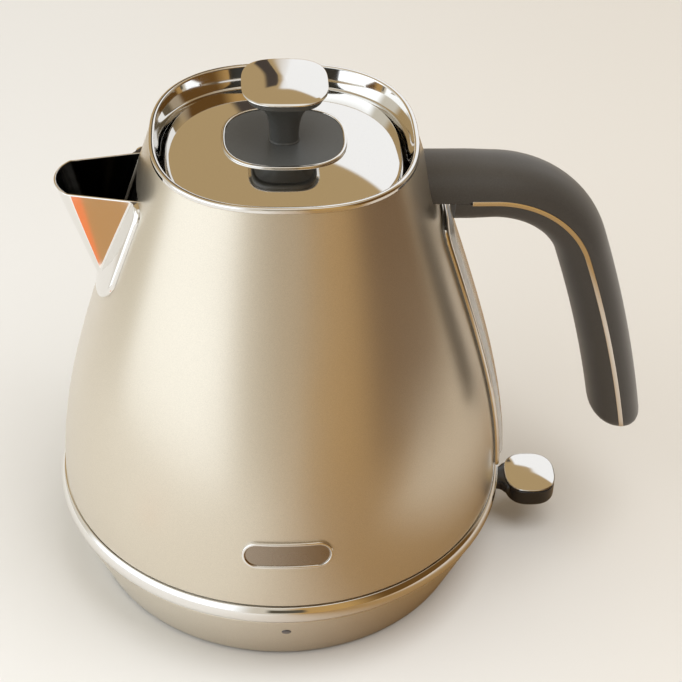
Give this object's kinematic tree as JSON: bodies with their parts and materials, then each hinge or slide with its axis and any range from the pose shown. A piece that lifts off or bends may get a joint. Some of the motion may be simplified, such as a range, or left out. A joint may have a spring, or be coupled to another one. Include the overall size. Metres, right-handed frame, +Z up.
{
  "type": "electric kettle",
  "caption": "Jug kettle with a tapered painted shell, beak spout, J-shaped handle, pull-off lid with a stemmed knob, and a round power base with a switch lever.",
  "frame": {"origin": "on the kettle's upright axis, at the level that the power base stands on", "axes": "+Z up, +X towards the handle and the switch lever, -X towards the spout, -Y towards the badge and the pilot lamp"},
  "size_m": [0.2241, 0.171, 0.206],
  "materials": {
    "painted_shell": "satin champagne metallic paint",
    "painted_skirt": "satin champagne metallic paint",
    "bright_chrome": "polished",
    "stainless": "brushed",
    "zinc_steel": "zinc plated",
    "grip": "soft-touch, finely textured",
    "grey_plastic": "fine satin",
    "black_plastic": "gloss",
    "inner_plastic": "plain moulded",
    "silicone": "matt silicone",
    "rubber_foot": "matt",
    "clear_window": "clear",
    "lamp_red": "tinted translucent",
    "aluminium_plate": "cast",
    "contact_brass": "plated",
    "circuit_board": "solder mask"
  },
  "bodies": {
    "power_base": {"base_housing": "painted_skirt", "base_bottom": "inner_plastic", "base_screws": "zinc_steel", "base_feet": "rubber_foot", "base_connector": "inner_plastic", "base_contacts": "contact_brass", "lamp_lens": "lamp_red", "lamp_board": "circuit_board", "cord_gland": "inner_plastic", "switch_unit": "inner_plastic", "lever_pin": "zinc_steel"},
    "lever": {"lever": "black_plastic", "lever_cap": "bright_chrome"},
    "coupling": {"jug_connector": "inner_plastic", "jug_contacts": "contact_brass"},
    "jug": {"body_shell": "painted_shell", "spout": "bright_chrome", "filter_frame": "inner_plastic", "filter_mesh": "stainless", "rim_collar": "bright_chrome", "bottom_ring": "bright_chrome", "bottom_pan": "inner_plastic", "pan_screws": "zinc_steel", "floor_plate": "stainless", "floor_seal": "silicone", "heat_diffuser": "aluminium_plate", "heating_element": "stainless", "thermal_control": "inner_plastic", "handle_outer": "grip", "handle_inner": "grip", "handle_inlay": "bright_chrome", "handle_bracket": "zinc_steel", "handle_screws": "zinc_steel", "gauge_seal": "silicone", "gauge_frame": "bright_chrome", "gauge_window": "clear_window", "badge_plate": "bright_chrome"},
    "lid": {"lid_cover": "bright_chrome", "lid_plug": "inner_plastic", "lid_seal": "silicone", "lid_screw": "zinc_steel", "knob_base": "grey_plastic", "knob_trim": "bright_chrome", "knob_bed": "grey_plastic", "knob_cap": "bright_chrome"}
  },
  "joints": [
    {"name": "lever_hinge", "type": "hinge", "parent": "power_base", "child": "lever", "pos_m": [0.066, 0, 0.019], "axis": [0, 1, 0], "range_deg": [0, 9]},
    {"name": "jug_lift", "type": "slide", "parent": "power_base", "child": "coupling", "axis": [0, 0, 1], "range_m": [0, 0.12]},
    {"name": "jug_turn", "type": "hinge", "parent": "coupling", "child": "jug", "pos_m": [0, 0, 0], "axis": [0, 0, 1], "continuous": true},
    {"name": "lid_lift", "type": "slide", "parent": "jug", "child": "lid", "axis": [0, 0, 1], "range_m": [0, 0.06]}
  ]
}
